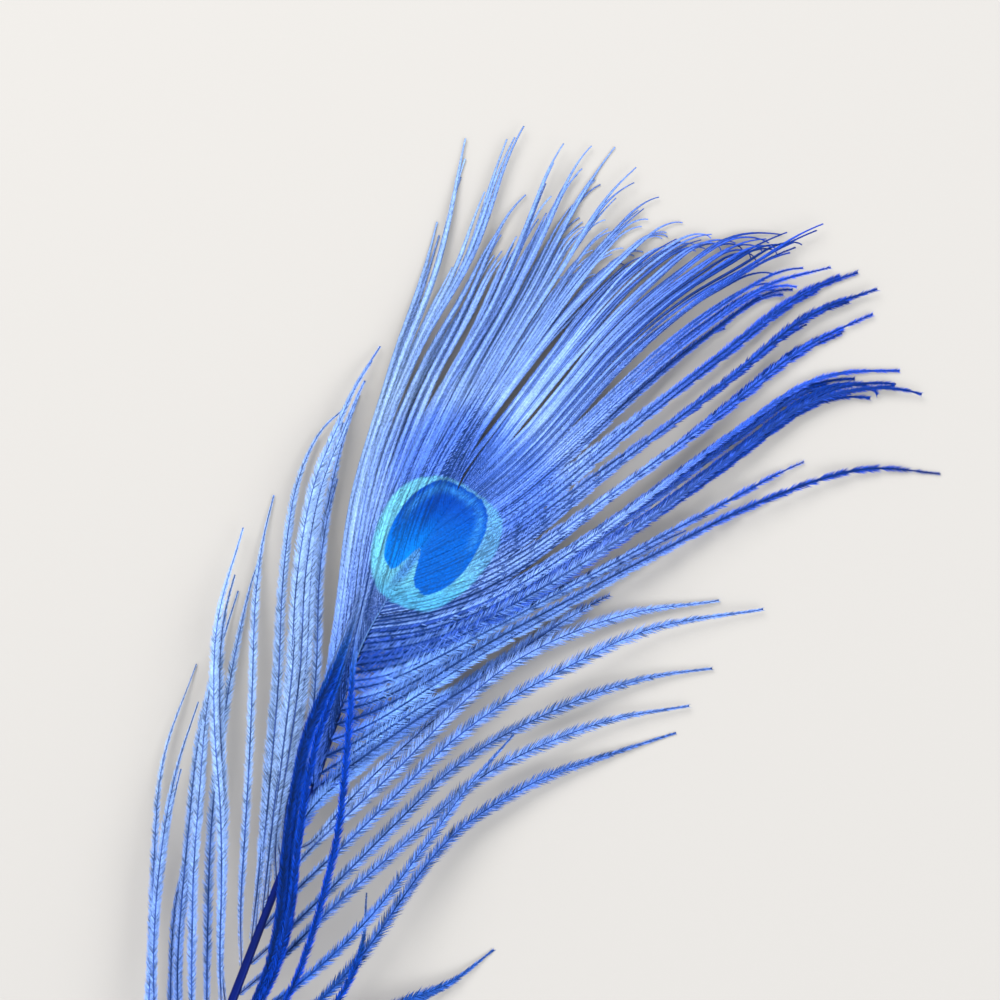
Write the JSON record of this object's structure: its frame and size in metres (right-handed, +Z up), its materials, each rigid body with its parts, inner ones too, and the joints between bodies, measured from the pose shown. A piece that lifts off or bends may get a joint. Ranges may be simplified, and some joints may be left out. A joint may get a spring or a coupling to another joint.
{
  "type": "peacock feather",
  "caption": "Dyed blue peacock tail feather lying face up: bare quill, long loose herls and a fan of barbs spreading from a ringed eye.",
  "frame": {"origin": "centre of the bounding box at the surface the feather lies on", "axes": "+Y along the feather from the quill to the crown, +Z up out of its face, +X to the right of the face"},
  "size_m": [0.1268, 0.297, 0.0148],
  "materials": {
    "shaft": "smooth horn, dyed dark blue, paler and slightly clear at the quill",
    "vane": "fine silky barbs with a soft sheen, blue with a ringed eye",
    "herl": "fringed silky strands with a soft sheen, cornflower to ultramarine blue"
  },
  "bodies": {
    "root": {"herl_left_1": "herl", "herl_left_10": "herl", "herl_left_11": "herl", "herl_left_12": "herl", "herl_left_2": "herl", "herl_left_3": "herl", "herl_left_4": "herl", "herl_left_5": "herl", "herl_left_6": "herl", "herl_left_7": "herl", "herl_left_8": "herl", "herl_left_9": "herl", "herl_low_left_1": "herl", "herl_low_left_2": "herl", "herl_low_left_3": "herl", "herl_low_left_4": "herl", "herl_low_left_5": "herl", "herl_low_left_6": "herl", "herl_low_right_1": "herl", "herl_low_right_2": "herl", "herl_low_right_3": "herl", "herl_low_right_4": "herl", "herl_low_right_5": "herl", "herl_low_right_6": "herl", "herl_low_right_7": "herl", "herl_over_1": "herl", "herl_over_2": "herl", "herl_right_1": "herl", "herl_right_2": "herl", "herl_right_3": "herl", "herl_right_4": "herl", "herl_right_5": "herl", "herl_right_6": "herl", "herl_right_7": "herl", "herl_right_8": "herl", "shaft": "shaft", "tuft_left_1": "vane", "tuft_left_2": "vane", "tuft_left_3": "vane", "tuft_left_4": "vane", "tuft_left_5": "vane", "tuft_left_6": "vane", "tuft_left_7": "vane", "tuft_left_8": "vane", "tuft_left_9": "vane", "tuft_right_1": "vane", "tuft_right_10": "vane", "tuft_right_11": "vane", "tuft_right_12": "vane", "tuft_right_2": "vane", "tuft_right_3": "vane", "tuft_right_4": "vane", "tuft_right_5": "vane", "tuft_right_6": "vane", "tuft_right_7": "vane", "tuft_right_8": "vane", "tuft_right_9": "vane"}
  },
  "joints": []
}
